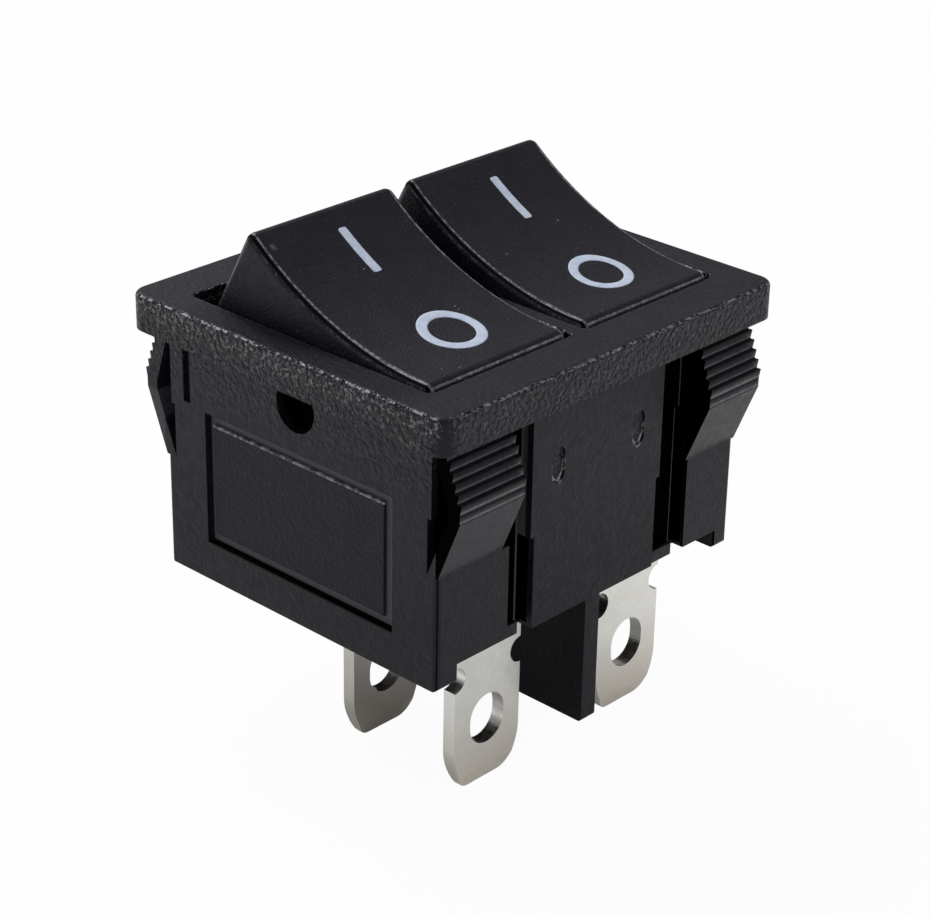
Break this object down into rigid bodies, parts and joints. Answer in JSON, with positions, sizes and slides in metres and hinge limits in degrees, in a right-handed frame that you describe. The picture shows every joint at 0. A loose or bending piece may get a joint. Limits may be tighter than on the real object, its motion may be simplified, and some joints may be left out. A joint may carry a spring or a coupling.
{
  "type": "panel rocker switch",
  "caption": "Snap-in panel switch with side-by-side on/off rockers in one bezel, sprung clips, flat tab terminals and a barrier between the poles.",
  "frame": {"origin": "middle of the panel cut-out, on the flange's underside", "axes": "+Z out of the panel, X across the two rockers, +Y towards the ends marked I"},
  "size_m": [0.024, 0.0218, 0.0271],
  "materials": {
    "black_nylon": "matte",
    "rocker_black": "satin",
    "natural_nylon": "satin",
    "spring_steel": "bright",
    "strip_brass": "satin",
    "contact_silver": "satin",
    "tinned_brass": "satin"
  },
  "bodies": {
    "base": {"housing": "black_nylon", "load_terminal_left": "tinned_brass", "fixed_contact_rivet_left": "contact_silver", "common_terminal_left": "tinned_brass", "load_terminal_right": "tinned_brass", "fixed_contact_rivet_right": "contact_silver", "common_terminal_right": "tinned_brass"},
    "rocker_left": {"rocker_left": "rocker_black", "spring_left": "spring_steel"},
    "plunger_left": {"plunger_left": "natural_nylon"},
    "see_saw_left": {"moving_contact_left": "strip_brass", "moving_contact_rivet_left": "contact_silver"},
    "rocker_right": {"rocker_right": "rocker_black", "spring_right": "spring_steel"},
    "plunger_right": {"plunger_right": "natural_nylon"},
    "see_saw_right": {"moving_contact_right": "strip_brass", "moving_contact_rivet_right": "contact_silver"}
  },
  "joints": [
    {"name": "rocker_left_tilt", "type": "hinge", "parent": "base", "child": "rocker_left", "pos_m": [-0.0053, 0, -0.00125], "axis": [-1, 0, 0], "range_deg": [0, 39]},
    {"name": "see_saw_left_tip", "type": "hinge", "parent": "base", "child": "see_saw_left", "pos_m": [-0.0053, -0.0002, -0.007], "axis": [1, 0, 0], "range_deg": [0, 16]},
    {"name": "plunger_left_slide", "type": "slide", "parent": "rocker_left", "child": "plunger_left", "axis": [0, 0.3338, -0.9426], "range_m": [0, 0.00033], "stiffness_N_per_m": 200, "springref_m": 0.004, "deforming": ["spring_left"]},
    {"name": "rocker_right_tilt", "type": "hinge", "parent": "base", "child": "rocker_right", "pos_m": [0.0053, 0, -0.00125], "axis": [-1, 0, 0], "range_deg": [0, 39]},
    {"name": "see_saw_right_tip", "type": "hinge", "parent": "base", "child": "see_saw_right", "pos_m": [0.0053, -0.0002, -0.007], "axis": [1, 0, 0], "range_deg": [0, 16]},
    {"name": "plunger_right_slide", "type": "slide", "parent": "rocker_right", "child": "plunger_right", "axis": [0, 0.3338, -0.9426], "range_m": [0, 0.00033], "stiffness_N_per_m": 200, "springref_m": 0.004, "deforming": ["spring_right"]}
  ],
  "couplings": [
    {"joint": "see_saw_left_tip", "follows": "rocker_left_tilt", "ratio": 0.41026},
    {"joint": "see_saw_right_tip", "follows": "rocker_right_tilt", "ratio": 0.41026}
  ]
}
